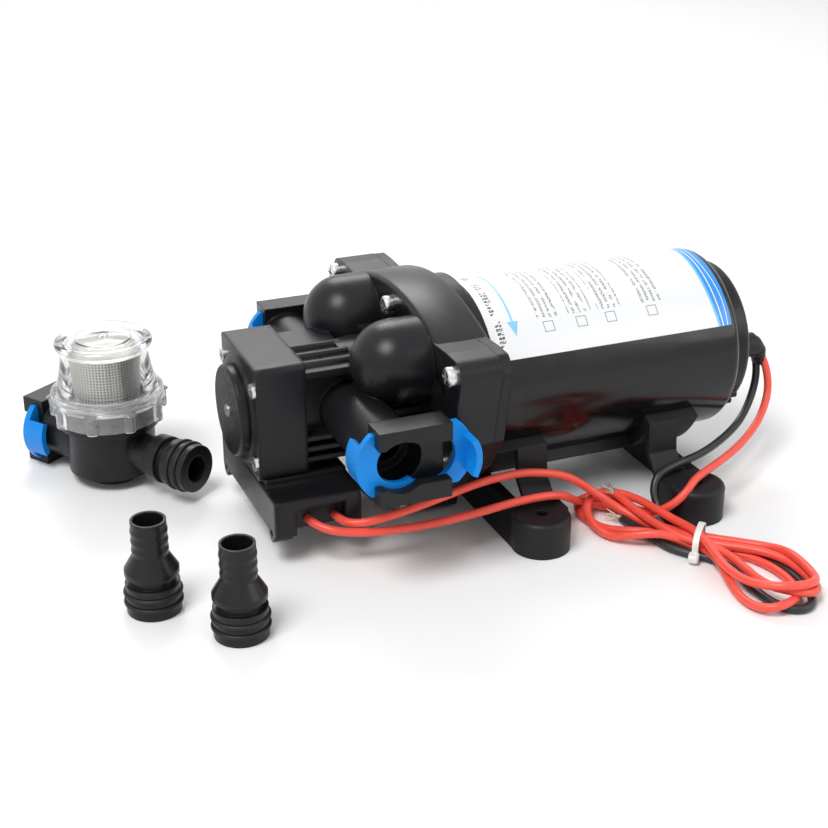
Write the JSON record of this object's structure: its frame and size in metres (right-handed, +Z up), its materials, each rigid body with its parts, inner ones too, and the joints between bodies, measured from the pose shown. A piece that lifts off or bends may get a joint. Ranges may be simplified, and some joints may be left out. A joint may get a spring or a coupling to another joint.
{
  "type": "caravan water pump",
  "caption": "Diaphragm water pump with motor, pressure switch, clip-in ports, mounting bracket, leads, inlet strainer and hose tails",
  "frame": {"origin": "centre of the four foot holes, on the surface the feet stand on", "axes": "+X along the motor axis from the pump head to the rear cap, +Z up, and the inlet port and the leads on the -Y side"},
  "size_m": [0.3297, 0.2837, 0.1014],
  "materials": {
    "black_plastic": "satin moulded",
    "black_cap_plastic": "satin moulded",
    "black_enamel": "gloss",
    "label": "printed vinyl",
    "blue_plastic": "semi gloss",
    "steel": "machined",
    "core_steel": "stacked laminations",
    "ferrite": "ground",
    "copper": "bare",
    "enamelled_wire": "varnished",
    "carbon": "dry",
    "white_plastic": "moulded",
    "black_rubber": "moulded",
    "clear_plastic": "clear",
    "red_insulation": "extruded",
    "black_insulation": "extruded",
    "white_nylon": "moulded",
    "tinned_copper": "bare strands"
  },
  "bodies": {
    "pump": {"base_bracket": "black_plastic", "base_screws": "steel", "motor_can": "black_enamel", "front_bell": "black_enamel", "rear_cap": "black_cap_plastic", "motor_label": "label", "grommet": "black_rubber", "magnets": "ferrite", "motor_bearings": "steel", "brush_holder": "black_cap_plastic", "brushes": "carbon", "brush_springs": "steel", "upper_housing": "black_plastic", "valve_plate": "white_plastic", "inlet_valves": "black_rubber", "outlet_valve": "black_rubber", "diaphragm": "black_rubber", "lower_housing": "black_plastic", "head_screws": "steel", "switch_body": "black_plastic", "switch_cap": "black_cap_plastic", "switch_spring": "steel", "switch_diaphragm": "black_rubber", "microswitch": "white_plastic", "switch_screws": "steel", "switch_box": "black_plastic", "switch_lead_upper": "red_insulation", "switch_lead_lower": "red_insulation", "motor_lead_red": "red_insulation", "motor_lead_black": "black_insulation", "lead_hank": "red_insulation", "cable_tie": "white_nylon", "bare_strands": "tinned_copper"},
    "rotor": {"motor_shaft": "steel", "armature_core": "core_steel", "armature_windings": "enamelled_wire", "commutator": "copper", "wobble_hub": "steel"},
    "wobble_plate": {"wobble_bearing": "steel", "wobble_plate": "white_plastic", "diaphragm_cups": "black_rubber", "pistons": "white_plastic", "piston_screws": "steel"},
    "near_port_clip": {"near_port_clip": "blue_plastic"},
    "far_port_clip": {"far_port_clip": "blue_plastic"},
    "switch_adjuster": {"switch_adjuster": "steel"},
    "switch_plunger": {"switch_plunger": "white_plastic"},
    "left_hose_tail": {"left_hose_tail": "black_plastic", "left_tail_rings": "black_rubber"},
    "right_hose_tail": {"right_hose_tail": "black_plastic", "right_tail_rings": "black_rubber"},
    "strainer": {"strainer_body": "black_plastic", "strainer_rings": "black_rubber"},
    "strainer_clip": {"strainer_clip": "blue_plastic"},
    "strainer_ring": {"strainer_ring": "clear_plastic"},
    "strainer_bowl": {"strainer_bowl": "clear_plastic"},
    "strainer_screen": {"strainer_screen": "steel"}
  },
  "joints": [
    {"name": "shaft_spin", "type": "hinge", "parent": "pump", "child": "rotor", "pos_m": [0, 0, 0.0568], "axis": [1, 0, 0], "continuous": true},
    {"name": "wobble_nutation", "type": "hinge", "parent": "rotor", "child": "wobble_plate", "pos_m": [-0.067, 0, 0.0568], "axis": [0.9984, 0, -0.0558], "continuous": true},
    {"name": "near_clip_slide", "type": "slide", "parent": "pump", "child": "near_port_clip", "axis": [-1, 0, 0], "range_m": [0, 0.013]},
    {"name": "far_clip_slide", "type": "slide", "parent": "pump", "child": "far_port_clip", "axis": [-1, 0, 0], "range_m": [0, 0.013]},
    {"name": "switch_adjuster_turn", "type": "hinge", "parent": "pump", "child": "switch_adjuster", "pos_m": [-0.148, 0, 0.0568], "axis": [-1, 0, 0], "range_deg": [-180, 180]},
    {"name": "switch_plunger_travel", "type": "slide", "parent": "pump", "child": "switch_plunger", "axis": [-1, 0, 0], "range_m": [0, 0.0012], "stiffness_N_per_m": 2500, "springref_m": -0.004},
    {"name": "left_tail_lift", "type": "slide", "parent": "pump", "child": "left_hose_tail", "axis": [0, 0, 1], "range_m": [0, 0.1]},
    {"name": "right_tail_lift", "type": "slide", "parent": "pump", "child": "right_hose_tail", "axis": [0, 0, 1], "range_m": [0, 0.1]},
    {"name": "strainer_lift", "type": "slide", "parent": "pump", "child": "strainer", "axis": [0, 0, 1], "range_m": [0, 0.1]},
    {"name": "strainer_clip_slide", "type": "slide", "parent": "strainer", "child": "strainer_clip", "axis": [-0.8241, -0.5664, 0], "range_m": [0, 0.013]},
    {"name": "bowl_lift", "type": "slide", "parent": "strainer", "child": "strainer_bowl", "axis": [0, 0, 1], "range_m": [0, 0.06]},
    {"name": "strainer_ring_turn", "type": "hinge", "parent": "strainer_bowl", "child": "strainer_ring", "pos_m": [-0.1889, 0.0739, 0.03], "axis": [0, 0, 1], "continuous": true},
    {"name": "screen_lift", "type": "slide", "parent": "strainer", "child": "strainer_screen", "axis": [0, 0, 1], "range_m": [0, 0.0034]}
  ],
  "couplings": [
    {"joint": "wobble_nutation", "follows": "shaft_spin", "ratio": -1}
  ]
}
